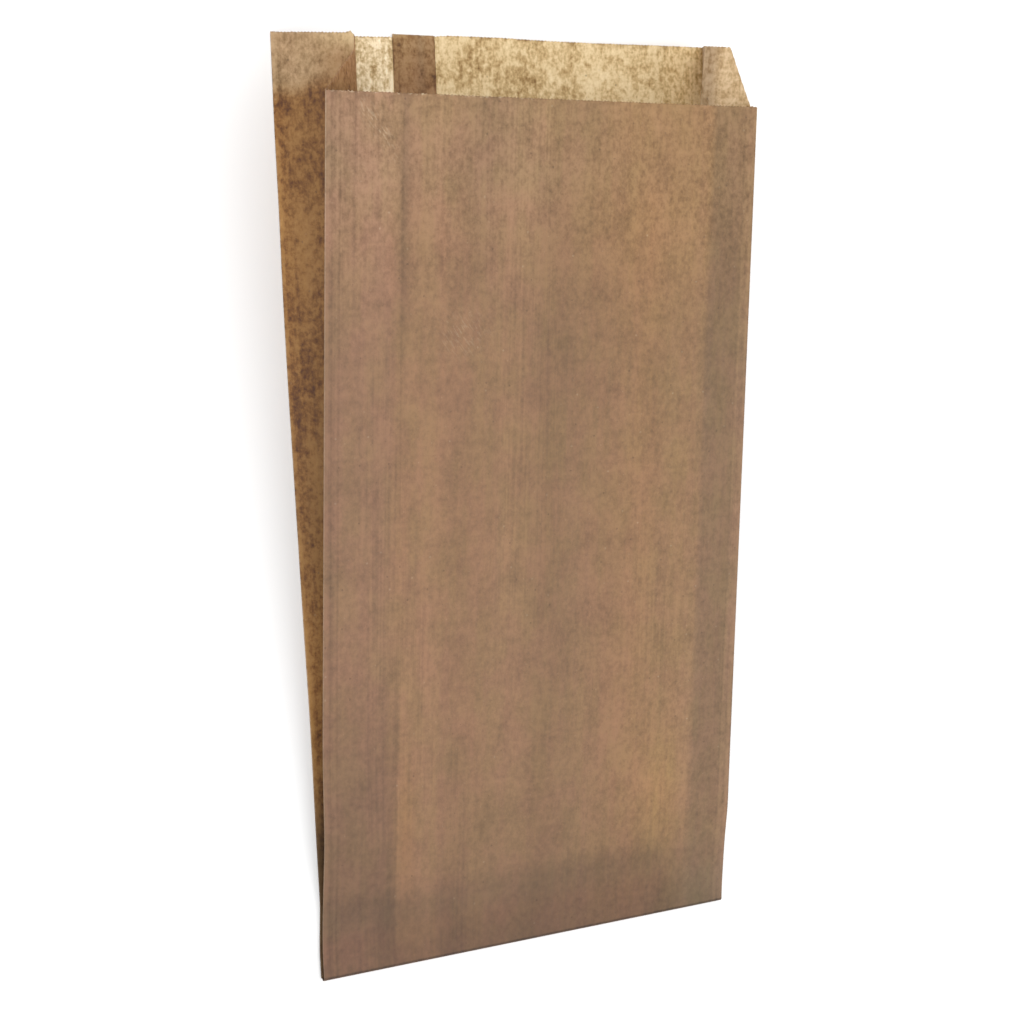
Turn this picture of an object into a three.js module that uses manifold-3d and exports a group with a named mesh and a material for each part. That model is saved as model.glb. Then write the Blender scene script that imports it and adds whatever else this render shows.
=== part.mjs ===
// A flat paper fruit bag with side gussets, lying on its back panel with its mouth gaping.
// Millimetres, +Z up. X runs across the bag from its left edge, Y from the bottom fold to the mouth.
// The origin is under the middle of the bag, on the surface it lies on.
import * as THREE from "three";
import { mergeVertices } from "three/addons/utils/BufferGeometryUtils.js";
import Module from "manifold-3d";

const wasm = await Module();
wasm.setup();

// Paper tube
const wall = 0.35; // one sheet with its air, several times the paper itself
const backWidth = 180;
const bottomWidth = 177; // the tube is pinched slightly narrower at its bottom fold
const pinchStart = 12; // it widens again from here
const pinchEnd = 52; // and is at full width from here up
const bottomSkew = 0.9; // how far the fold's right end lies below its left end
const frontLength = 325; // bottom fold to the front panel's cut edge
const backLength = 350.6; // bottom fold to the back panel's cut edge, the lip
const leftPleat = 34; // each half of the left gusset
const rightPleat = 23.5; // each half of the right gusset
const edgeFold = 1.6 * wall; // thickness of the paper along a folded side edge

// Bottom
const closedLength = 28; // glued and pressed shut this far up
const closedStack = 4 * wall; // front, two gusset halves and back
const flapLength = 9.5; // turned up under the back and glued
const flapStack = 0.6;
const pinchDepth = 0.25; // what is left of the gusset's groove along the closed edge
const flapRows = [15, 21]; // facets where the back comes down off the flap
const easing = 9; // over about this length the front curves out of the closure
const closureStep = 0.5; // half the height in which the gussets open out of the closure
const hollowStart = closedLength + 3 * closureStep;

// Mouth
const gapLeft = 50.5; // front edge above back edge, at the front panel's cut edge
const gapRight = 38.3;
const lipLift = 4; // the lip's right corner curls up off the surface
const liftStartAcross = 0.35; // where the curl starts, as a share of the width
const liftStartUp = 190;
const liftPower = 1.5; // how the curl steepens from there to the cut edge
const sideBow = 0.6; // the back's left edge bows out this far at mid height

// Glue seam down the inside of the back panel, a double layer
const seamStart = 47;
const seamWidth = 17;
const seamStack = 0.25;
const seamOverhang = 1; // its cut edge stands above the back panel's

// The cut edge round the mouth, as [distance from the front edge, height] on each gusset
const leftCut = [
  [0, frontLength],
  [leftPleat - 1, 341.5], // the slanting edge of the front half
  [leftPleat, 347],
  [leftPleat + 1.4, 349.2],
  [2 * leftPleat, backLength],
];
const rightCut = [
  [0, frontLength],
  [2.8, frontLength + 0.5], // a short level start before the slant
  [12.5, 347], // the slant is over before the crease
  [rightPleat, 348.5],
  [2 * rightPleat, backLength],
];

const columns = 12; // facets across a panel
const rowStep = 10; // facets up the bag
const hollowOvershoot = 5; // the hollow runs on past the lip so that it cuts the mouth open
const foldClearance = 0.1; // least distance from a fold's edge to the middle of its gusset

const smooth = (u) => {
  const s = THREE.MathUtils.clamp(u, 0, 1);
  return s * s * (3 - 2 * s);
};

const widthAt = (y) =>
  THREE.MathUtils.lerp(bottomWidth, backWidth, smooth((y - pinchStart) / (pinchEnd - pinchStart)));

// How much of the lip's curl is reached at height y.
const curlAt = (y) => Math.max(0, (y - liftStartUp) / (backLength - liftStartUp)) ** liftPower;

// The back panel's outer face: flat on the surface, over the flap at the bottom, curled at one corner.
function backHeight(across, y) {
  const overFlap = flapStack * (1 - smooth((y - flapLength) / (closedLength - flapLength)));
  const curl = smooth((across - liftStartAcross) / (1 - liftStartAcross)) * curlAt(y);
  return overFlap + lipLift * curl;
}

function backPoint(across, y) {
  const up = y / backLength;
  const bow = -sideBow * 4 * up * (1 - up) * (1 - across);
  const skew = -bottomSkew * across * (1 - up);
  return new THREE.Vector3(across * widthAt(y) + bow, y + skew, backHeight(across, y));
}

// The front panel's outer face curves out of the closed bottom into a straight slope, steeper on the left.
function frontPoint(across, y) {
  const past = y - closedLength;
  const along = (past + Math.hypot(past, easing)) / 2;
  const low = y - along;
  const slope = (gap) => Math.asin((gap - closedStack) / (frontLength - closedLength));
  const left = slope(gapLeft);
  const right = slope(gapRight + lipLift * curlAt(frontLength));
  const rise = along * THREE.MathUtils.lerp(Math.sin(left), Math.sin(right), across);
  const reach = along * THREE.MathUtils.lerp(Math.cos(left), Math.cos(right), across);
  const twist = along * (Math.sin(left) - Math.sin(right));
  const chord = Math.sqrt(widthAt(y) ** 2 - twist ** 2);
  const skew = -bottomSkew * across * (1 - y / backLength);
  return new THREE.Vector3(
    across * chord,
    low + reach + skew,
    backHeight(across, low) + closedStack + rise,
  );
}

const gapAt = (across, y) => backPoint(across, y).distanceTo(frontPoint(across, y));

// A point of the section at height y: x from the left edge, z from the back towards the front.
function sectionPoint(x, z, y) {
  const across = x / widthAt(y);
  const back = backPoint(across, y);
  return back.lerp(frontPoint(across, y), z / gapAt(across, y));
}

// How far the inner crease of a gusset lies in from the side edge at height y.
function creaseDepth(pleat, across, y) {
  if (y < closedLength + closureStep) return pinchDepth;
  return Math.sqrt(pleat ** 2 - (gapAt(across, y) / 2) ** 2);
}

const panelShares = Array.from({ length: columns + 1 }, (_, i) => i / columns);

// The outer ring is a list of stations: each gives its section point at a height, and its cut height.
function gussetStations(cut, pleat, across) {
  const side = across === 0 ? 1 : -1;
  return cut.map(([distance, top]) => ({
    top,
    at(y) {
      const gap = gapAt(across, y);
      const edge = Math.min(edgeFold, gap / 2 - foldClearance);
      const fromFront = distance <= pleat;
      const share = fromFront ? distance / pleat : (2 * pleat - distance) / pleat;
      const start = fromFront ? gap - edge : edge;
      const x = share * creaseDepth(pleat, across, y);
      return [across * widthAt(y) + side * x, THREE.MathUtils.lerp(start, gap / 2, share)];
    },
  }));
}

const outerStations = [
  ...panelShares.map((share) => ({ top: backLength, at: (y) => [share * widthAt(y), 0] })),
  ...gussetStations(rightCut, rightPleat, 1).reverse(),
  ...panelShares
    .slice()
    .reverse()
    .map((share) => ({ top: frontLength, at: (y) => [share * widthAt(y), gapAt(share, y)] })),
  ...gussetStations(leftCut, leftPleat, 0),
];

// The hollow's corners beside one gusset: its two tips against the panels, and the blunt end of the crease.
function hollowCorners(pleat, across, y) {
  const gap = gapAt(across, y);
  const crease = creaseDepth(pleat, across, y);
  const tilt = Math.atan((gap / 2 - edgeFold) / crease);
  const tip = (wall * (1 + 1 / Math.cos(tilt)) - edgeFold) / Math.tan(tilt);
  const blunt = (wall * (1 - Math.sin(tilt))) / Math.cos(tilt);
  const place = (x) => (across === 0 ? x : widthAt(y) - x);
  return {
    backTip: [place(tip), wall],
    backBlunt: [place(crease + wall), gap / 2 - blunt],
    frontBlunt: [place(crease + wall), gap / 2 + blunt],
    frontTip: [place(tip), gap - wall],
  };
}

function hollowRing(y) {
  const left = hollowCorners(leftPleat, 0, y);
  const right = hollowCorners(rightPleat, 1, y);
  const between = (from, to, height) =>
    panelShares.slice(1, -1).map((share) => {
      const x = THREE.MathUtils.lerp(from[0], to[0], share);
      return [x, height(x / widthAt(y))];
    });
  return [
    left.backTip,
    ...between(left.backTip, right.backTip, () => wall),
    right.backTip,
    right.backBlunt,
    right.frontBlunt,
    right.frontTip,
    ...between(right.frontTip, left.frontTip, (across) => gapAt(across, y) - wall),
    left.frontTip,
    left.frontBlunt,
    left.backBlunt,
  ].map(([x, z]) => sectionPoint(x, z, y));
}

// A closed solid through rings of points with the same count, its two ends filled in.
function loftSolid(rings) {
  const count = rings[0].length;
  const positions = rings.flat().flatMap((p) => p.toArray());
  const index = [];
  for (let row = 0; row + 1 < rings.length; row++)
    for (let i = 0; i < count; i++) {
      const [a, b] = [row * count + i, row * count + ((i + 1) % count)];
      index.push(a, b, b + count, a, b + count, a + count);
    }
  const flat = (ring) => ring.map((p) => new THREE.Vector2(p.x, p.z));
  const last = (rings.length - 1) * count;
  for (const [a, b, c] of THREE.ShapeUtils.triangulateShape(flat(rings[0]), [])) index.push(a, c, b);
  for (const [a, b, c] of THREE.ShapeUtils.triangulateShape(flat(rings.at(-1)), []))
    index.push(last + a, last + b, last + c);
  const geometry = new THREE.BufferGeometry();
  geometry.setAttribute("position", new THREE.Float32BufferAttribute(positions, 3));
  geometry.setIndex(index);
  return toSolid(geometry);
}

// A manifold-3d solid of a closed geometry, turned so that its faces point out.
function toSolid(geometry) {
  geometry.deleteAttribute("normal");
  geometry.deleteAttribute("uv");
  const merged = mergeVertices(geometry, 1e-4);
  const triangles = [];
  for (let i = 0; i < merged.index.count; i += 3) {
    const [a, b, c] = merged.index.array.subarray(i, i + 3);
    if (a !== b && b !== c && c !== a) triangles.push(a, b, c);
  }
  const build = (triVerts) =>
    new wasm.Manifold(
      new wasm.Mesh({
        numProp: 3,
        vertProperties: new Float32Array(merged.attributes.position.array),
        triVerts: new Uint32Array(triVerts),
      }),
    );
  const solid = build(triangles);
  return solid.volume() > 0 ? solid : build(triangles.reverse());
}

function rowsBetween(from, to) {
  const steps = Math.ceil((to - from) / rowStep);
  return Array.from({ length: steps + 1 }, (_, i) => THREE.MathUtils.lerp(from, to, i / steps));
}

function outerSolid() {
  const top = Math.max(...outerStations.map((station) => station.top));
  const rows = [
    closedStack / 2, flapLength, ...flapRows, closedLength - closureStep, closedLength + closureStep,
    ...rowsBetween(hollowStart, top),
  ];
  return loftSolid(
    rows.map((row) =>
      outerStations.map((station) => {
        const y = Math.min(row, station.top);
        return sectionPoint(...station.at(y), y);
      }),
    ),
  );
}

const hollowSolid = () =>
  loftSolid(rowsBetween(hollowStart, backLength + hollowOvershoot).map(hollowRing));

// The double layer of the glue seam, laid on the inside of the back panel.
function seamSolid() {
  const strip = (y) =>
    [
      [seamStart, wall / 2],
      [seamStart + seamWidth, wall / 2],
      [seamStart + seamWidth, wall + seamStack],
      [seamStart, wall + seamStack],
    ].map(([x, z]) => sectionPoint(x, z, y));
  return loftSolid(rowsBetween(closedLength, backLength + seamOverhang).map(strip));
}

// The bottom fold and the flap that it turns up under the back: a bar with a rounded nose.
function flapSolid() {
  const nose = (flapStack + closedStack) / 2;
  const outline = new THREE.Shape()
    .moveTo(flapLength, 0)
    .lineTo(flapLength, 2 * nose)
    .lineTo(nose, 2 * nose)
    .absarc(nose, nose, nose, Math.PI / 2, (3 * Math.PI) / 2, false);
  const bar = new THREE.ExtrudeGeometry(outline, {
    depth: bottomWidth,
    bevelEnabled: false,
    curveSegments: 6,
  });
  const skew = -bottomSkew / bottomWidth;
  bar.applyMatrix4(new THREE.Matrix4().set(0, 0, 1, 0, 1, 0, skew, 0, 0, 1, 0, 0, 0, 0, 0, 1));
  return toSolid(bar);
}

function bagGeometry() {
  const solid = outerSolid().subtract(hollowSolid()).add(seamSolid()).add(flapSolid());
  const mesh = solid.getMesh();
  const geometry = new THREE.BufferGeometry();
  geometry.setAttribute("position", new THREE.BufferAttribute(mesh.vertProperties, 3));
  geometry.setIndex(new THREE.BufferAttribute(mesh.triVerts, 1));
  geometry.computeVertexNormals();
  return geometry;
}

const kraftPaper = new THREE.MeshStandardMaterial({ color: 0xa0836a, roughness: 0.75, metalness: 0 });

const bag = new THREE.Mesh(bagGeometry(), kraftPaper);
bag.name = "paper_bag";
bag.geometry.computeBoundingBox();
const box = bag.geometry.boundingBox;
bag.position.set(-(box.min.x + box.max.x) / 2, -(box.min.y + box.max.y) / 2, -box.min.z);

const root = new THREE.Group();
root.add(bag);

export default root;
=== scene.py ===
import bpy
import numpy as np
from mathutils import Euler, Matrix, Vector


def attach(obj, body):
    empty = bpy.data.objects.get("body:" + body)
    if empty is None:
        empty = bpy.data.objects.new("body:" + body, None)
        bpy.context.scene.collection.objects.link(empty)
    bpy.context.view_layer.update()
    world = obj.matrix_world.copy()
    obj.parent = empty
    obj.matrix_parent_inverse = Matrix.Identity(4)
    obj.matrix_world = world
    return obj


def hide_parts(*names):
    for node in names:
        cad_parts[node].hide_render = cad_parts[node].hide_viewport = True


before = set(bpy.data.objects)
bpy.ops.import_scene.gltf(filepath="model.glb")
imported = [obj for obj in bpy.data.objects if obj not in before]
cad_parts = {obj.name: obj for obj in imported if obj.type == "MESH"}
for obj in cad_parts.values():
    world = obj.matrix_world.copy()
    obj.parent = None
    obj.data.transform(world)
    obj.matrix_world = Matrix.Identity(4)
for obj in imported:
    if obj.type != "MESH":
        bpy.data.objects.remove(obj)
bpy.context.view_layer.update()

# The bag's shape, its lengths in millimetres. X runs from the left edge, Y from the bottom fold.
bag = {
    "wall": 0.35,
    "backWidth": 180.0,
    "bottomWidth": 176.0,
    "bottomSkew": 0.9,
    "frontLength": 325.0,
    "backLength": 350.6,
    "leftPleat": 34.0,
    "rightPleat": 23.5,
    "closedLength": 28.0,
    "flapLength": 9.5,
    "flapStack": 0.6,
    "gapLeft": 50.5,
    "gapRight": 38.3,
    "lipLift": 4.0,
    "liftStartAcross": 0.35,
    "liftStartUp": 190.0,
    "liftPower": 1.5,
    "sideBow": 0.6,
    "upperBow": 0.9,  # the back's left edge again, most of it above the middle
    "lowerDip": 0.35,  # and a little the other way near the bottom
    "lipFlare": 0.45,  # and out again at the lip
    "bottomFlare": 1.5,  # how far the closure's left end sticks out
    "leftLift": 2.2,  # how far the front's left edge stands up above the closure
    "pleatDrift": 0.9,  # the left crease is this much deeper at the lip's end than below the mouth
    "pinchStart": -4.0,  # the bag widens from here
    "pinchEnd": 44.0,  # to here, and has its full width above
    "easing": 9.0,  # the front leaves the closure in a curve, not a kink
    "origin": (89.70, 175.35, 0.0),  # what the row's origin is in these millimetres
}
closedStack = 4 * bag["wall"]

# The sheet itself
paper = {
    "thickness": 0.14,
    "spacing": 0.7,  # between points round the tube
    "foldSpacing": 0.25,  # the same beside a fold
    "toothHeight": 0.38,  # the saw's teeth along the cut edge
    "toothPitch": 1.4,
    "waveHeight": 0.22,  # scales the panels' waves, of which the highest comes to 0.55
    "waveLength": (42, 260),  # roughly the length of these waves, across and up
    "waveSeed": 3,
    "seed": 7,
}


def smooth(u):
    # 3u2 - 2u3, held at 0 and 1 outside them
    s = np.clip(u, 0, 1)
    return s * s * (3 - 2 * s)


def bump(value, centre, halfWidth):
    # a bell: e to the minus of the squared distance from its centre in half widths
    return np.exp(-(((value - centre) / halfWidth) ** 2))


def widthAt(y):
    # full width all the way down, then a smooth step in to the bottom width
    start, end = bag["pinchStart"], bag["pinchEnd"]
    more = bag["backWidth"] - bag["bottomWidth"]
    return bag["bottomWidth"] + more * smooth((y - start) / (end - start))


def flareAt(y):
    # the closure's left end: full below 8 mm, nothing above 32 mm
    return bag["bottomFlare"] * (1 - smooth((y - 8) / 24))


def curlAt(y):
    # the share of the way from the curl's start to the lip, to a power
    past = np.maximum(0, y - bag["liftStartUp"])
    return (past / (bag["backLength"] - bag["liftStartUp"])) ** bag["liftPower"]


def backHeight(across, y):
    # over the flap at the bottom, flat above it, and curled up at the lip's right corner
    rampLength = bag["closedLength"] - bag["flapLength"]
    overFlap = bag["flapStack"] * (1 - smooth((y - bag["flapLength"]) / rampLength))
    start = bag["liftStartAcross"]
    return overFlap + bag["lipLift"] * smooth((across - start) / (1 - start)) * curlAt(y)


def backPoint(across, y):
    # a flat rectangle, slightly tapered and skewed
    # its left edge is bowed by a parabola and two bells, and flares at the lip and the closure
    up = y / bag["backLength"]
    bow = bag["sideBow"] * 4 * up * (1 - up) + bag["upperBow"] * bump(y, 250, 75)
    bow = bow - bag["lowerDip"] * bump(y, 95, 30) + bag["lipFlare"] * smooth((y - 280) / 40)
    x = across * widthAt(y) - (bow + flareAt(y)) * (1 - across)
    return np.stack([x, y - bag["bottomSkew"] * across * (1 - up), backHeight(across, y)], -1)


def frontPoint(across, y):
    # two straight slopes, one at each side, with everything between them in proportion
    # each starts in a hyperbola, so that the front leaves the closure without a kink
    # and a bell lifts the left edge just above the closure
    past = y - bag["closedLength"]
    along = (past + np.sqrt(past**2 + bag["easing"] ** 2)) / 2
    low = y - along
    run = bag["frontLength"] - bag["closedLength"]
    left = np.arcsin((bag["gapLeft"] - closedStack) / run)
    right = np.arcsin((bag["gapRight"] + bag["lipLift"] * curlAt(bag["frontLength"]) - closedStack) / run)
    rise = along * (np.sin(left) * (1 - across) + np.sin(right) * across)
    reach = along * (np.cos(left) * (1 - across) + np.cos(right) * across)
    chord = np.sqrt(widthAt(y) ** 2 - (along * (np.sin(left) - np.sin(right))) ** 2)
    skew = -bag["bottomSkew"] * across * (1 - y / bag["backLength"])
    rise = rise + bag["leftLift"] * bump(y, 54, 22) * smooth((y - 14) / 20) * (1 - smooth(across / 0.3))
    x = across * chord - 0.6 * flareAt(y) * (1 - across)
    return np.stack([x, low + reach + skew, backHeight(across, low) + closedStack + rise], -1)


def gapAt(across, y):
    # the distance between the outer faces of the two panels, straight across
    return np.linalg.norm(backPoint(across, y) - frontPoint(across, y), axis=-1)


def sectionPoint(x, z, y):
    # x from the left edge, z from the back towards the front, on the line between the two panels
    across = x / widthAt(y)
    back = backPoint(across, y)
    return back + (frontPoint(across, y) - back) * (z / gapAt(across, y))[..., None]


# Distances round the tube: front, right gusset, back, left gusset
width = bag["backWidth"]
corners = np.cumsum(
    [0, width, bag["rightPleat"], bag["rightPleat"], width, bag["leftPleat"], bag["leftPleat"]]
)
aroundAll = float(corners[-1])


def tubeSection(around, y):
    # the middle of the sheet in the section at height y, by straight runs from fold to fold
    half = paper["thickness"] / 2
    w = widthAt(y)
    leftGap, rightGap = gapAt(0 * y, y), gapAt(0 * y + 1, y)
    frontGap = gapAt(np.clip(around / width, 0, 1), y)
    leftPleat = bag["leftPleat"] + bag["pleatDrift"] * (smooth((y - 322) / 28) - 0.55)
    leftCrease = np.sqrt(leftPleat**2 - (leftGap / 2) ** 2)
    rightCrease = np.sqrt(bag["rightPleat"] ** 2 - (rightGap / 2) ** 2)
    part = np.clip(np.searchsorted(corners, around, side="right") - 1, 0, 5)
    t = (around - corners[part]) / (corners[part + 1] - corners[part])
    x = np.select(
        [part == i for i in range(6)],
        [
            w * t,
            w - rightCrease * t,
            w - rightCrease * (1 - t),
            w * (1 - t),
            leftCrease * t,
            leftCrease * (1 - t),
        ],
    )
    # a gusset's half runs from half a sheet inside one panel to the middle of the gap
    z = np.select(
        [part == i for i in range(6)],
        [
            frontGap - half,
            (rightGap - half) * (1 - t) + rightGap / 2 * t,
            rightGap / 2 * (1 - t) + half * t,
            half + 0 * t,
            half * (1 - t) + leftGap / 2 * t,
            leftGap / 2 * (1 - t) + (leftGap - half) * t,
        ],
    )
    return x, z


def cutHeight(around):
    # the cut edge: nearly level on the front and the lip, and slanting on both gussets
    c, q = corners, bag["rightPleat"]
    front, back = bag["frontLength"], bag["backLength"]
    stops = [
        (0, front + 0.5),
        (c[1], front - 1.0),
        (c[1] + 2.8, front - 0.4),
        (c[1] + 12.5, 347.2),
        (c[1] + q, 348.4),
        (c[3], back - 0.2),
        (c[4] - 130, back - 0.2),
        (c[4] - 112, back),
        (c[4] - 90, back + 0.6),  # the lip's cut isn't quite straight
        (c[4] - 70, back + 0.6),
        (c[4] - 62, back - 0.1),
        (c[4] - 47, back - 0.8),
        (c[4] - 40, back - 1.0),
        (c[4] - 34, back - 1.1),
        (c[4], back - 0.8),
        (c[4] + 30.5, 347.8),
        (c[4] + 32.5, 348.3),
        (c[4] + 33.7, 347.1),  # a small step beside the crease
        (c[5], 346.6),
        (c[5] + 1, 341.9),
        (c[6], front + 0.5),
    ]
    return np.interp(around, *zip(*stops))


def wander(around, y, scaleAcross, scaleUp, seed):
    # the sum of nine slow cosines of random pitch and phase, divided by three
    rng = np.random.default_rng(seed)
    total = 0 * around * y
    for a, b, phase in rng.uniform([0.5, 0.3, 0], [1.5, 1.4, 6.28], (9, 3)):
        total = total + np.cos(around * 6.28 * a / scaleAcross + y * 6.28 * b / scaleUp + phase)
    return total / 3


def slack(around, y):
    # the waves, which fade to nothing at the folds and the closure, and never go below the table
    nearFold = np.min([np.abs(around - c) for c in corners], axis=0)
    waves = wander(around, y, *paper["waveLength"], paper["waveSeed"])
    out = paper["waveHeight"] * waves * smooth(nearFold / 18) * smooth((y - 34) / 40)
    onBack = (around >= corners[3]) & (around < corners[4])
    return np.where(onBack, -np.abs(out) * 0.6, out), nearFold


def roundStations():
    # even steps round the tube, and finer ones within 1.5 mm of each fold
    even = np.arange(0, aroundAll, paper["spacing"])
    fine = np.concatenate([c + np.arange(-1.5, 1.6, paper["foldSpacing"]) for c in corners[:-1]])
    points = np.unique(np.round(np.mod(np.concatenate([even, fine]), aroundAll), 3))
    keep = np.diff(np.append(points, aroundAll)) > 0.12
    return points[keep]


def rowStations():
    # under 1 mm a row goes round the fold, and below 60 mm it is a height
    # above that it is a share of the way to the cut
    flap = np.linspace(-1, 0, 6)[:-1]
    nose = np.linspace(0, 1, 8)
    low = np.array([2, 4, 6.5, 9.5, 12, 15, 18, 21, 24, 26, 28, 30, 33, 37, 42, 48, 54, 60.0])
    nearCut = [0.988, 0.994, 0.9975, 1.0]
    share = np.concatenate([np.linspace(0, 0.90, 22)[1:], np.linspace(0.91, 0.98, 8), nearCut])
    return flap, nose, low, share


def layPoints(around):
    # every row of the tube, from the flap's cut end, round the bottom fold and up to the mouth
    flap, nose, low, share = rowStations()
    start = np.ones_like(around)
    x, z = tubeSection(around, start)
    base = sectionPoint(x, z, start)
    height = base[:, 2]
    # the layers lie in reverse order under the fold
    under = bag["flapStack"] * (bag["flapStack"] + closedStack - height) / closedStack
    centre, radius = (height + under) / 2, (height - under) / 2
    rows, heights = [], []
    for f in flap:
        rows.append(np.stack([base[:, 0], base[:, 1] - f * (bag["flapLength"] - 1), under], -1))
        heights.append(0 * around + f * (bag["flapLength"] - 1) - 3)
    for n in nose:
        turn = np.pi * (1 - n)
        y, z = base[:, 1] - radius * np.sin(turn), centre + radius * np.cos(turn)
        rows.append(np.stack([base[:, 0], y, z], -1))
        heights.append(0 * around - 3 * (1 - n) + n)
    rng = np.random.default_rng(paper["seed"])
    saw = np.abs(np.mod(around / paper["toothPitch"], 1) * 2 - 1) - 0.5
    saw = saw * rng.uniform(0.4, 1.3, around.shape) * paper["toothHeight"]
    top = cutHeight(around) + saw
    for y in list(low) + [60 + s * (top - 60) for s in share]:
        y = y + 0 * around
        rows.append(sectionPoint(*tubeSection(around, y), y))
        heights.append(y)
    return np.array(rows), np.array(heights)


def gridNormals(points, closedRound):
    # the cross product of the two directions along the grid, by central differences
    if closedRound:
        wrapped = np.concatenate([points[:, -1:], points, points[:, :1]], 1)
        along = wrapped[:, 2:] - wrapped[:, :-2]
    else:
        along = np.gradient(points, axis=1)
    up = np.gradient(points, axis=0)
    normal = np.cross(along, up)
    return normal / np.maximum(np.linalg.norm(normal, axis=-1, keepdims=True), 1e-9)


def sheetMesh(name, points, around, heights, thickness, closedRound, marks):
    # two copies of the grid, half a thickness out along its normals and half in, joined by rims
    rows, columns = points.shape[:2]
    normal = gridNormals(points, closedRound)
    outer = points + normal * thickness / 2
    inner = points - normal * thickness / 2
    places = np.concatenate([outer.reshape(-1, 3), inner.reshape(-1, 3)])
    places = (places - np.array(bag["origin"])) / 1000
    index = np.arange(rows * columns).reshape(rows, columns)
    right = np.roll(index, -1, axis=1) if closedRound else index[:, 1:]
    left = index if closedRound else index[:, :-1]
    a, b, c, d = left[:-1], right[:-1], right[1:], left[1:]
    size = rows * columns
    sides = [np.stack([a, b, c, d], -1).reshape(-1, 4), np.stack([d, c, b, a], -1).reshape(-1, 4) + size]
    top, bottom = left[-1], left[0]
    topNext, bottomNext = right[-1], right[0]
    rims = [
        np.stack([top, topNext, topNext + size, top + size], -1),
        np.stack([bottomNext, bottom, bottom + size, bottomNext + size], -1),
    ]
    if not closedRound:
        first, last = index[:, 0], index[:, -1]
        rims.append(np.stack([first[:-1], first[1:], first[1:] + size, first[:-1] + size], -1))
        rims.append(np.stack([last[1:], last[:-1], last[:-1] + size, last[1:] + size], -1))
    faces = np.concatenate(sides + rims)
    mesh = bpy.data.meshes.new(name)
    mesh.vertices.add(len(places))
    mesh.vertices.foreach_set("co", places.astype(np.float32).ravel())
    mesh.loops.add(faces.size)
    mesh.loops.foreach_set("vertex_index", faces.astype(np.int32).ravel())
    mesh.polygons.add(len(faces))
    mesh.polygons.foreach_set("loop_start", np.arange(0, faces.size, 4, dtype=np.int32))
    mesh.update(calc_edges=True)
    # the paper's own map: distance round the tube and height, in metres, unbroken at the joining line
    u = np.tile(np.broadcast_to(around, (rows, columns)).ravel(), 2)[faces]
    u = np.where(u < u.max(axis=1, keepdims=True) - 200, u + aroundAll, u)
    v = np.tile(heights.ravel(), 2)[faces]
    layer = mesh.uv_layers.new(name="sheet")
    layer.data.foreach_set("uv", (np.stack([u, v], -1) / 1000).astype(np.float32).ravel())
    for markName, values in marks.items():
        attribute = mesh.attributes.new(markName, "FLOAT", "POINT")
        both = np.tile(np.broadcast_to(values, (rows, columns)).ravel(), 2)
        attribute.data.foreach_set("value", both.astype(np.float32))
    mesh.polygons.foreach_set("use_smooth", np.ones(len(faces), bool))
    mesh.validate()
    item = bpy.data.objects.new(name, mesh)
    bpy.context.scene.collection.objects.link(item)
    return item


# Where the paper is lighter with painted backlight, darker with painted shade, or warmer. Distances are in
# millimetres on the sheet.
tones = {
    "singleLayer": (304.0, 322.0),  # above this only one layer is in the light's way
    "seam": (47.0, 64.0),  # the glue seam's strip, from the back's left edge
    "leftBand": 29.4,  # the left gusset lies behind the front up to here
    "rightBand": 160.0,  # and the right one from here
    "scuffSlant": 0.7,  # how far the upper scuff goes right for each step down
}


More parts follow.
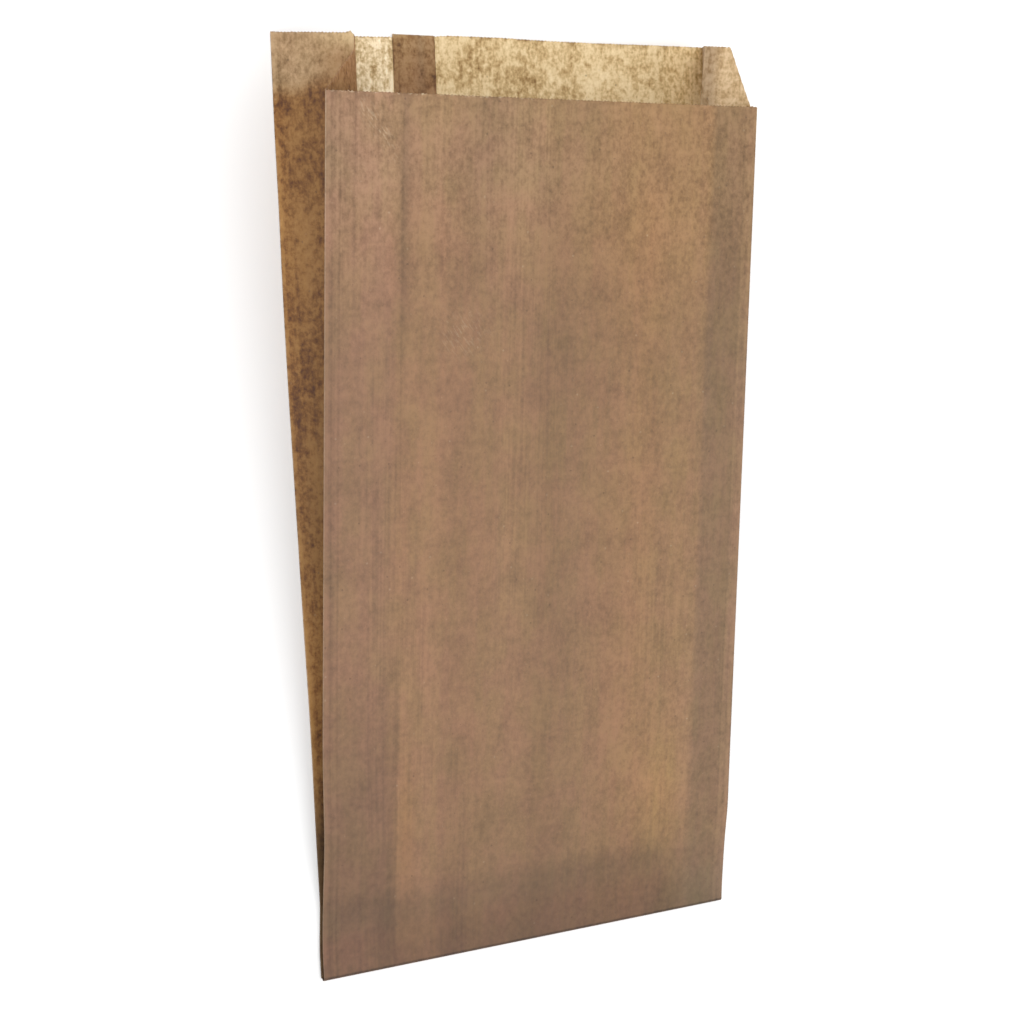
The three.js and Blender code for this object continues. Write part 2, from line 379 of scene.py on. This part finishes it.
def frontToneAndPaintedShade(x, y):
    # painted light and shade: lighter towards the mouth and darker at the glued closure
    toneAndPaintedShade = 0.87 + 0.22 * smooth((y - 240) / 85) - 0.06 * smooth((60 - y) / 25)
    toneAndPaintedShade = toneAndPaintedShade - 0.22 * smooth((35 - y) / 12) - 0.10 * smooth((24 - y) / 22)
    # painted shade in a band where the left gusset lies behind, with dark and light lines along its crease
    crease = tones["leftBand"]
    band = smooth((crease + 1 - x) / 2)
    toneAndPaintedShade += band * 0.10 * smooth((y - 215) / 60)
    toneAndPaintedShade -= band * 0.20 * smooth((130 - y) / 65) * smooth((y + 10) / 40)
    toneAndPaintedShade += smooth((24 - x) / 4) * 0.11 * smooth((33 - y) / 10) * (1 - 0.4 * smooth((10 - y) / 8))
    toneAndPaintedShade -= 0.10 * smooth((7 - x) / 6) * smooth((y - 75) / 40)
    toneAndPaintedShade -= 0.08 * smooth((16 - x) / 8) * bump(y, 308, 10)
    toneAndPaintedShade -= 0.13 * bump(x, crease - 0.2, 1.8) * smooth((y - 225) / 50)
    toneAndPaintedShade -= 0.12 * bump(x, crease + 0.6, 2.5) * smooth((y - 210) / 40)
    toneAndPaintedShade += 0.08 * bump(x, crease + 2.5, 4.0) * smooth((y - 45) / 20) * (1 - smooth((y - 230) / 30))
    # painted shade in a band where the right gusset lies behind
    start = tones["rightBand"]
    band = smooth((x - start + 1.5) / 4)
    depth = (0.13 + 0.05 * smooth((y - 210) / 60)) * smooth((y - 10) / 30)
    toneAndPaintedShade -= band * (1 - 0.85 * smooth((x - 173) / 4)) * depth
    toneAndPaintedShade += 0.08 * smooth((x - 155) / 8) * smooth((30 - y) / 15)
    toneAndPaintedShade += 0.12 * smooth((x - 146) / 8) * bump(y, 33, 20)
    # lighter and darker stretches between the two
    toneAndPaintedShade += 0.10 * smooth((x - 112) / 22) * (1 - smooth((x - start + 2) / 3)) * smooth((y - 20) / 30)
    toneAndPaintedShade -= 0.13 * smooth((x - 118) / 20) * (1 - smooth((x - 152) / 6)) * smooth((y - 282) / 22)
    toneAndPaintedShade -= 0.09 * bump(x, 92, 9) * (1 - 0.6 * smooth((y - 285) / 25))
    toneAndPaintedShade += smooth((y - 230) / 50) * (0.08 * bump(x, 78, 7) - 0.08 * bump(x, 60, 6))
    stripes = 0.10 * bump(x, 86, 7) - 0.09 * bump(x, 105, 8) - 0.06 * bump(x, 66, 8)
    toneAndPaintedShade += smooth((y - 298) / 14) * stripes
    toneAndPaintedShade += 0.07 * bump(x, 74, 8) * smooth((y - 55) / 30) * (1 - smooth((y - 225) / 40))
    toneAndPaintedShade += 0.06 * bump(x, 42, 7) - 0.08 * bump(x, 53, 7) * (1 - smooth((y - 70) / 40))
    toneAndPaintedShade += 0.10 * bump(x, 46, 8) * smooth((y - 312) / 8) + 0.03 * bump(y, 140, 70)
    toneAndPaintedShade += 0.11 * bump(x, 21, 7) * smooth((y - 290) / 18)
    toneAndPaintedShade += 0.20 * bump(x, 145, 9) * bump(y, 55, 25)
    toneAndPaintedShade += 0.05 * smooth((x - 146) / 6) * (1 - smooth((x - start - 1) / 4)) * (1 - smooth((y - 150) / 60))
    toneAndPaintedShade += 0.11 * smooth((x - 174) / 2) * (1 - smooth((y - 250) / 40))
    return toneAndPaintedShade


def frontHue(x, y):
    # how much more red and blue than the finish has
    # less red towards the mouth and the right, and more at the bottom
    right = smooth((x - 132) / 14)
    red = 1 + 0.02 * smooth((75 - x) / 20) - 0.045 * right
    red -= 0.05 * smooth((y - 278) / 24) * (1 - right)
    red += 0.07 * smooth((22 - y) / 10) * (1 - 2 * smooth((x - 140) / 30))
    inner = smooth((x - 22) / 8)
    blue = 1 - 0.05 * inner - 0.03 * inner * smooth((y - 120) / 60) - 0.03 * bump(x, 92, 8)
    blue += 0.05 * bump(x, 158, 4) + 0.05 * smooth((x - 173) / 4)
    blue -= 0.13 * bump(x, 145, 10) * bump(y, 50, 28)
    return red, blue


def sheetMarks(around, heights):
    # the first mark and red and blue multiply the colour; that first mark is painted light and shade
    # together with the paper's own lighter and darker stretches the next three say where it is deep brown
    # (the paper's own warm patches, and painted shade in the gussets and inside), where one layer has
    # painted backlight as if lit from behind, and where it is mottled
    r = np.broadcast_to(around, heights.shape)
    c = corners
    onFront = (r < c[1]) * 1.0
    onBack = ((r >= c[3]) & (r < c[4])) * 1.0
    onLeft = (r >= c[4]) * 1.0
    onRight = ((r >= c[1]) & (r < c[3])) * 1.0
    frontHalf = (r >= c[5]) * 1.0
    backHalf = onLeft - frontHalf
    x = np.where(onBack > 0, c[4] - r, r)  # across the panel, from the left
    y = heights
    q = r - c[4]  # across the left gusset, from the back to its crease
    fromCut = cutHeight(around) - heights
    right = smooth((x - tones["rightBand"] + 1.5) / 4)
    low, high = tones["singleLayer"]
    single = smooth((y - low) / (high - low))
    # the left gusset's back half above the front: painted light where it is out of the front's shadow,
    # fading to painted shadow towards the crease
    lip = smooth((y - 325 - 3 * smooth((q - 8) / 12)) / 8) * backHalf
    lip *= 1 - 0.60 * smooth((q - 14) / 14) * smooth((347 - y) / 8)

    # painted shade: the front's own, and darker over the back's glued closure
    toneAndPaintedShade = 1 + onFront * (frontToneAndPaintedShade(x, y) - 1) - onBack * 0.31 * smooth((46 - y) / 34)
    # painted shade on the left gusset: darker below the lip, most of all around 178 mm up, lighter at its
    # outer edge and darker beside the front panel, near black at the closed bottom, and a little darker low
    # on the lip
    toneAndPaintedShade -= onLeft * (1 - lip) * (0.08 + 0.13 * bump(y, 178, 34))
    toneAndPaintedShade += backHalf * (1 - lip) * (0.17 * (1 - smooth(q / 6)) - 0.06 * smooth((q - 4) / 8))
    toneAndPaintedShade -= onLeft * (0.25 * smooth((115 - y) / 50) + 0.55 * smooth((80 - y) / 35))
    toneAndPaintedShade -= lip * 0.05 * smooth((344 - y) / 8)
    # painted light on the back's lip, beside the right crease where real shade falls and left of 50 mm
    toneAndPaintedShade += onBack * single * (0.14 * smooth((x - 158) / 10) + 0.06 * smooth((50 - x) / 4))
    # painted shade beside the right gusset's crease
    toneAndPaintedShade -= onRight * 0.20 * (1 - smooth((c[2] - r - 3) / 6))
    # on the left gusset's front half, painted light above the front's top and painted shade along its cut
    toneAndPaintedShade += frontHalf * (0.36 * smooth((y - 322) / 12) - 0.20 * smooth((0.7 - fromCut) / 0.6))
    red, blue = frontHue(x, y)
    red = 1 + onFront * (red - 1) + onRight * 0.02
    blue = 1 + onFront * (blue - 1) + onRight * 0.08 - backHalf * (1 - lip) * 0.08

    # the front's own warmer patches, and painted shade as deep brown inside and on both gussets, less where
    # the left gusset is lit
    amberAndPaintedShade = onFront * (0.02 + 0.16 * smooth((x - 95) / 40) * (1 - right))
    amberAndPaintedShade += onFront * 0.20 * smooth((x - 75) / 40) * smooth((y - 215) / 70)
    amberAndPaintedShade += onFront * 0.20 * bump(x, 33, 4) * bump(y, 55, 26)
    amberAndPaintedShade += onBack * 0.25 + onRight * 0.40
    amberAndPaintedShade += backHalf * (0.95 - 0.80 * lip) + frontHalf * (0.95 - 0.28 * smooth((y - 322) / 12))

    seamStart, seamEnd = tones["seam"]
    inSeam = ((x > seamStart) & (x < seamEnd)) * 1.0
    # painted backlight: one layer glowing as if lit from behind, on the back's lip away from the seam and
    # most left of 50 mm, on the right gusset, on the left gusset's lip and faintly on the front
    paintedBacklight = onBack * single * smooth((x - 24) / 3) * (1 - inSeam * 0.9)
    paintedBacklight *= 1 + 0.85 * smooth((50 - x) / 4)
    paintedBacklight += onRight * single * (0.58 + 0.28 * smooth((c[2] - r - 3) / 6))
    paintedBacklight += lip * (0.32 + 0.28 * smooth((q - 14) / 18) * smooth((y - 339) / 8))
    paintedBacklight += onFront * 0.02 * smooth((x - 80) / 40) * smooth((y - 215) / 70)

    # on the back the mottle follows the painted backlight
    rough = onLeft * (1.25 - 0.65 * lip) + onRight * 0.9 + onBack * np.minimum(paintedBacklight, 1)
    rough += onFront * (0.05 + 0.10 * smooth((x - 95) / 30) + 0.30 * smooth((y - 225) / 80))
    # two scuffs that slant down to the right, and loose fibres along the cut and the folds
    scuff = bump(x, 14 + (322 - y) * tones["scuffSlant"], 3) * bump(y, 314, 9)
    scuff = scuff + bump(x, 50, 11) * bump(y, 245 - (x - 50) * 0.25, 4)
    fray = (1 - onFront * 0.85 * smooth((x - 50) / 50)) * (1 - frontHalf) * (1 - onRight * 0.7)
    return {
        "toneAndPaintedShade": toneAndPaintedShade,
        "amberAndPaintedShade": amberAndPaintedShade,
        "paintedBacklight": paintedBacklight,
        "rough": rough,
        "scuff": onFront * scuff,
        "fray": fray,
        "red": red,
        "blue": blue,
        "fromCut": fromCut,
    }


print("paper tube")
around = roundStations()
points, heights = layPoints(around)
normals = gridNormals(points, True)
out, nearFold = slack(around, heights)
points = points + normals * out[..., None]
marks = sheetMarks(around, heights)
marks["fromFold"] = np.broadcast_to(nearFold, heights.shape)
tube = sheetMesh("paper_tube", points, around, heights, paper["thickness"], True, marks)

print("glue seam")
seam = {
    "start": 47.0,
    "width": 17.0,
    "height": 0.30,  # its middle above the back panel's outer face
    "overhang": 0.3,
    "thickness": 0.12,
}


def seamSheet():
    # a strip of the back panel's own surface, lifted by a sheet, with its own saw cut
    x = np.linspace(seam["start"], seam["start"] + seam["width"], 40)
    top = bag["backLength"] + seam["overhang"]
    lowest = bag["closedLength"] - 2
    rng = np.random.default_rng(paper["seed"] + 1)
    saw = (np.arange(x.size) % 2 - 0.5) * rng.uniform(0.3, 1.0, x.size) * paper["toothHeight"]
    share = np.append(np.linspace(0, 0.99, 50), [0.995, 1.0])[:, None]
    y = lowest + share * (top + saw - lowest)
    x = np.broadcast_to(x, y.shape)
    around = corners[4] - x
    grid = sectionPoint(x, seam["height"] - slack(around, y)[0], y)
    # turned so that its outer side is the one that the mouth shows
    extra = {
        "toneAndPaintedShade": 1.02 - 0.16 * bump(x, seam["start"] + 11, 1.8) + 0.05 * bump(x, seam["start"] + 4, 4),
        "amberAndPaintedShade": 0.50 + 0 * y,
        # painted backlight at the seam's top
        "paintedBacklight": 0.10 * smooth((y - 338) / 10),
        "rough": 1.25 + 0 * y,
        "scuff": 0 * y,
        "fray": 1 + 0 * y,
        "red": 1 + 0 * y,
        "blue": 0.88 + 0 * y,
        "fromCut": top - y,
        "fromFold": np.minimum(np.abs(x - seam["start"]), np.abs(x - seam["start"] - seam["width"])) + 3,
    }
    return sheetMesh("glue_seam", grid, around, y, seam["thickness"], False, extra)


strip = seamSheet()


class Wire:
    # a shader socket with operators that add Math nodes
    def __init__(self, tree, socket):
        self.tree, self.socket = tree, socket

    def node(self, kind, settings=None, inputs=None, output=0):
        # settings are set first, then each input gets a value or a link
        item = self.tree.nodes.new(kind)
        for key, value in (settings or {}).items():
            setattr(item, key, value)
        for key, value in (inputs or {}).items():
            if isinstance(value, Wire):
                self.tree.links.new(value.socket, item.inputs[key])
            else:
                item.inputs[key].default_value = value
        return Wire(self.tree, item.outputs[output])

    def maths(self, operation, a, b=0.0):
        # the operation's name is the Math node's own
        return self.node("ShaderNodeMath", {"operation": operation}, {0: a, 1: b})

    def __add__(self, other):
        return self.maths("ADD", self, other)

    def __radd__(self, other):
        return self.maths("ADD", other, self)

    def __sub__(self, other):
        return self.maths("SUBTRACT", self, other)

    def __rsub__(self, other):
        return self.maths("SUBTRACT", other, self)

    def __lt__(self, other):
        return self.maths("LESS_THAN", self, other)

    def __mul__(self, other):
        return self.maths("MULTIPLY", self, other)

    def __rmul__(self, other):
        return self.maths("MULTIPLY", other, self)

    def __truediv__(self, other):
        return self.maths("DIVIDE", self, other)

    def __pow__(self, other):
        return self.maths("POWER", self, other)

    def within(self, low, high):
        # 0 at low, 1 at high, smoothly between
        ranged = {"interpolation_type": "SMOOTHSTEP"}
        limits = {"Value": self, "From Min": low, "From Max": high}
        return self.node("ShaderNodeMapRange", ranged, limits)

    def blend(self, first, second):
        # a colour that goes from the first to the second as this value goes from 0 to 1
        mixed = {"data_type": "RGBA", "clamp_factor": True}
        return self.node("ShaderNodeMix", mixed, {0: self, 6: first, 7: second}, 2)


# Noise in the paper: how many a metre across and up the bag, detail, roughness and shift
grain = {
    "ribs": (1 / 0.0013, 16, 1, 0.5, 0),
    "clusters": (30, 5, 1, 0.5, 9),  # where ribs show most
    "bands": (110, 5, 2, 0.5, 3),  # broad streaks that run up the bag
    "mottle": (85, 66, 5, 0.78, 7),
    "cloud": (420, 350, 3, 0.55, 5),
    "fibre": (950, 820, 4, 0.6, 0),
    "drift": (34, 20, 2, 0.5, 13),
    "hue": (70, 48, 2, 0.6, 17),
    "hueBands": (300, 12, 1, 0.5, 27),
    "tufts": (560, 560, 2, 0.6, 2),
    "tuftPatches": (160, 160, 1, 0.5, 4),
    "streaks": (1100, 300, 2, 0.6, 23),
    "specks": (620, 620, 0, 0.5, 15),
    "lightSpecks": (560, 560, 0, 0.5, 21),
}

# The paper's finish
kraft = {
    "pink": (0.286, 0.152, 0.0865, 1),
    "green": (0.272, 0.157, 0.0795, 1),
    # deep brown, for warm patches and for painted shade
    "amberAndPaintedShade": (0.285, 0.129, 0.030, 1),
    # the next two are painted backlight: one layer glowing as if lit from behind
    "paintedBacklight": (0.705, 0.510, 0.255, 1),  # one layer with light behind it
    "paintedBacklightPeak": (0.890, 0.715, 0.455, 1),  # the same where most light comes through
    "pale": (0.560, 0.430, 0.300, 1),  # fibres on cut and folded edges
    "dark": (0.100, 0.055, 0.030, 1),
    "lit": (0.620, 0.420, 0.200, 1),  # light that has gone through the sheet
    "roughness": 0.62,
    "through": 0.10,  # share of light that goes on through the sheet
    "knee": 1.14,  # tones lighter than this
    "kneeShare": 0.45,  # get this share of what they are above it
    "darkest": 0.30,
    # lines beside a fold: distance and half width in mm, and strength
    "ridges": [(4.3, 0.6, 0.07), (0.9, 0.9, 0.15), (2.7, 0.6, -0.10), (5.4, 0.6, -0.10), (3.6, 1.6, -0.05)],
    # painted shade: the left gusset's crease showing through the front, and a dark line along the bottom
    # fold
    "paintedCreaseShade": 0.07,
    "paintedBottomFoldShade": 0.50,
    "bottomEdge": 0.60,
    "rimDark": 0.30,
    "cutFibres": 0.75,
    "foldFibres": 0.28,
    "scuffs": 0.36,
    "darkSpecks": 0.45,
    "paleSpecks": 0.20,
    "bumpStrength": 0.40,
    "bumpDistance": 0.00014,
}


def kraftPaper():
    # ribs and bands are noise stretched up the bag
    # mottle, cloud and fibre are noise at three sizes, and specks are its rare peaks
    material = bpy.data.materials.new("kraft_paper")
    material.use_nodes = True
    tree = material.node_tree
    tree.nodes.clear()
    start = Wire(tree, None)

    def mark(name):
        # a value that sheetMesh has stored on the mesh
        return start.node("ShaderNodeAttribute", {"attribute_name": name}, output=2)

    def noise(name, source=None):
        # noise on the paper's own map, stretched as its line in grain says
        across, up, detail, rough, shift = grain[name]
        place = {0: source or sheet, 1: (shift, shift, 0), 3: (across, up, 1)}
        stretched = start.node("ShaderNodeMapping", {"vector_type": "POINT"}, place)
        values = {0: stretched, "Scale": 1.0, "Detail": detail, "Roughness": rough}
        return start.node("ShaderNodeTexNoise", {"noise_dimensions": "2D"}, values)

    def line(value, place, halfWidth):
        # 1 where the value is at this place, 0 beyond the half width to either side
        return 1 - ((value - place) ** 2 / halfWidth**2).within(0.0, 1.0)

    sheet = start.node("ShaderNodeUVMap", {"uv_map": "sheet"})
    around, up = (start.node("ShaderNodeSeparateXYZ", None, {0: sheet}, i) * 1000 for i in (0, 1))
    leaning = {0: (around + up * tones["scuffSlant"]) / 1000, 1: up / 1000}
    slanted = start.node("ShaderNodeCombineXYZ", None, leaning)
    toneAndPaintedShade, amberAndPaintedShade, paintedBacklight, rough = (mark(name) for name in ("toneAndPaintedShade", "amberAndPaintedShade", "paintedBacklight", "rough"))
    scuff, fray, red, blue = (mark(name) for name in ("scuff", "fray", "red", "blue"))
    fromCut, fromFold = mark("fromCut"), mark("fromFold")
    ribs, bands, mottle, cloud = (noise(name) for name in ("ribs", "bands", "mottle", "cloud"))
    fibre, drift = noise("fibre"), noise("drift")
    clusters = noise("clusters").within(0.46, 0.66)
    hue = noise("hue") + (noise("hueBands") - 0.5) * 0.4
    besideFold = 1 - fromFold.within(1.0, 9.0)
    tone = 1 + (ribs - 0.5) * (0.10 + clusters * 0.28 + rough * 0.12 + besideFold * 0.12)
    tone = tone + (bands - 0.5) * (0.12 + rough * 0.24)
    tone = tone + (mottle - 0.5) * (0.60 + rough * 0.86) + (drift - 0.5) * (0.10 + rough * 0.60)
    tone = tone + (fibre - 0.5) * (0.34 + rough * 0.60) + (cloud - 0.5) * (0.42 + rough * 0.80)
    ridges = sum(line(fromFold, *placed) * strength for *placed, strength in kraft["ridges"])
    onFront = around < width
    tone = tone + ridges * fray.maths("MAXIMUM", fray, 0.6 * onFront)
    # painted shade: the left gusset's crease shows through the front as a dark line, and the bottom fold
    # has a dark line of painted shade and a pale one;
    # along the cut edge the painted backlight is darker
    tone = tone - line(around, tones["leftBand"], 0.7) * kraft["paintedCreaseShade"]
    rim = (1 - fromCut.within(0.0, 0.7)) * paintedBacklight.maths("MINIMUM", paintedBacklight, 1)
    tone = tone - line(up, 0.6, 0.9) * kraft["paintedBottomFoldShade"] - rim * kraft["rimDark"]
    # what is lighter than the knee gets only a share of it
    knee = kraft["knee"] + (tone - kraft["knee"]) * kraft["kneeShare"]
    tone = tone.maths("MAXIMUM", tone.maths("MINIMUM", tone, knee), kraft["darkest"])
    plain = hue.within(0.22, 0.78).blend(kraft["pink"], kraft["green"])
    colour = amberAndPaintedShade.blend(plain, kraft["amberAndPaintedShade"])
    # painted backlight, and above 1 its brightest colour
    colour = paintedBacklight.blend(colour, kraft["paintedBacklight"])
    colour = (paintedBacklight - 1).blend(colour, kraft["paintedBacklightPeak"])
    tufts = noise("tufts").within(0.48, 0.62) * noise("tuftPatches").within(0.40, 0.60)
    cutEdge = (1 - fromCut.within(0.10, 0.80)) * tufts * fray
    foldEdge = 1 - fromFold.within(0.10, 0.50)
    colour = (cutEdge * kraft["cutFibres"]).blend(colour, kraft["pale"])
    colour = (line(up, -0.6, 0.6) * kraft["bottomEdge"]).blend(colour, kraft["pale"])
    colour = (foldEdge * fray * kraft["foldFibres"]).blend(colour, kraft["pale"])
    streaks = noise("streaks", slanted).within(0.52, 0.68)
    colour = (scuff * streaks * kraft["scuffs"]).blend(colour, kraft["pale"])
    specks = noise("specks").within(0.87, 0.95)
    lightSpecks = noise("lightSpecks").within(0.87, 0.97)
    colour = (specks * kraft["darkSpecks"]).blend(colour, kraft["dark"])
    colour = (lightSpecks * kraft["paleSpecks"]).blend(colour, kraft["pale"])
    # thin places are paler as well as lighter, so green and blue follow the tone more steeply than red
    green = toneAndPaintedShade * tone ** (1 + rough * 0.30)
    values = {0: toneAndPaintedShade * tone * red, 1: green, 2: toneAndPaintedShade * tone ** (1 + rough * 0.90) * blue}
    strength = start.node("ShaderNodeCombineXYZ", None, values)
    multiply = {"data_type": "RGBA", "blend_type": "MULTIPLY"}
    painted = start.node("ShaderNodeMix", multiply, {0: 1.0, 6: colour, 7: strength}, 2)
    roughness = kraft["roughness"] + (fibre - 0.5) * 0.20 + (ribs - 0.5) * 0.12
    height = ribs * (0.20 + clusters * 0.45) + fibre * 0.35 + cloud * 0.35
    relief = {"Strength": kraft["bumpStrength"], "Distance": kraft["bumpDistance"], "Height": height}
    tilt = start.node("ShaderNodeBump", None, relief)
    finish = {"Base Color": painted, "Roughness": roughness, "Normal": tilt}
    face = start.node("ShaderNodeBsdfPrincipled", None, finish)
    through = start.node("ShaderNodeBsdfTranslucent", None, {"Color": kraft["lit"], "Normal": tilt})
    # less comes through where layers lie behind
    share = kraft["through"] * toneAndPaintedShade.maths("MINIMUM", toneAndPaintedShade, 1)
    both = start.node("ShaderNodeMixShader", None, {0: share, 1: face, 2: through})
    out = tree.nodes.new("ShaderNodeOutputMaterial")
    tree.links.new(both.socket, out.inputs["Surface"])
    return material


print("paper finish")
finish = kraftPaper()
for piece in (tube, strip):
    piece.data.materials.append(finish)
    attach(piece, "root")
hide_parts("paper_bag")

# The table, light and camera
studio = {
    "floor": (0.96, 0.96, 0.96, 1),
    "floorRoughness": 0.9,
    "reach": 20.0,
    "top": -0.0002,  # just under the paper
    "ambient": 0.95,
    "lamps": [  # place, size and power
        ((-0.55, 0.35, 1.10), 1.0, 5.0),
        ((0.70, -0.25, 1.20), 1.2, 4.0),
    ],
}


def lookAt(place, target):
    # a turn whose Z points from the target to the place
    return (place - target).to_track_quat("Z", "Y")


print("table, light and camera")
floorMesh = bpy.data.meshes.new("table_top")
reach, top = studio["reach"], studio["top"]
ends = [(-reach, -reach, top), (reach, -reach, top), (reach, reach, top), (-reach, reach, top)]
floorMesh.from_pydata(ends, [], [(0, 1, 2, 3)])
floor = bpy.data.objects.new("table_top", floorMesh)
bpy.context.scene.collection.objects.link(floor)
tableWhite = bpy.data.materials.new("table_white")
tableWhite.use_nodes = True
floorLook = tableWhite.node_tree.nodes["Principled BSDF"]
floorLook.inputs["Base Color"].default_value = studio["floor"]
floorLook.inputs["Roughness"].default_value = studio["floorRoughness"]
floorMesh.materials.append(tableWhite)

world = bpy.data.worlds.new("studio")
world.use_nodes = True
world.node_tree.nodes["Background"].inputs[0].default_value = (1, 1, 1, 1)
world.node_tree.nodes["Background"].inputs[1].default_value = studio["ambient"]
bpy.context.scene.world = world
for number, (place, size, power) in enumerate(studio["lamps"]):
    lamp = bpy.data.lights.new(f"softbox_{number}", "AREA")
    lamp.size, lamp.energy = size, power
    item = bpy.data.objects.new(lamp.name, lamp)
    item.location = place
    item.rotation_euler = lookAt(Vector(place), Vector((0, 0, 0))).to_euler()
    bpy.context.scene.collection.objects.link(item)

# The camera looks down at the bag from its left, where the photo's perspective puts it
view = {
    "sensor": 36.0,
    "lens": 61.0,
    "aim": (-0.00241, -0.00555, 0.0),  # the spot on the table in the middle of the picture
    "distance": 0.6764,  # from that spot
    "turn": (-3.704, -26.435, -2.873),  # degrees about X, Y and Z from looking straight down
}
camera = bpy.data.cameras.new("camera")
camera.sensor_width, camera.lens = view["sensor"], view["lens"]
viewer = bpy.data.objects.new("camera", camera)
bpy.context.scene.collection.objects.link(viewer)
turn = Euler(np.radians(view["turn"]))
place = Vector(view["aim"]) + turn.to_matrix() @ Vector((0, 0, view["distance"]))
viewer.matrix_world = Matrix.LocRotScale(place, turn, None)
bpy.context.scene.camera = viewer
bpy.context.scene.view_settings.view_transform = "Standard"

print("faces", len(tube.data.polygons), len(strip.data.polygons))
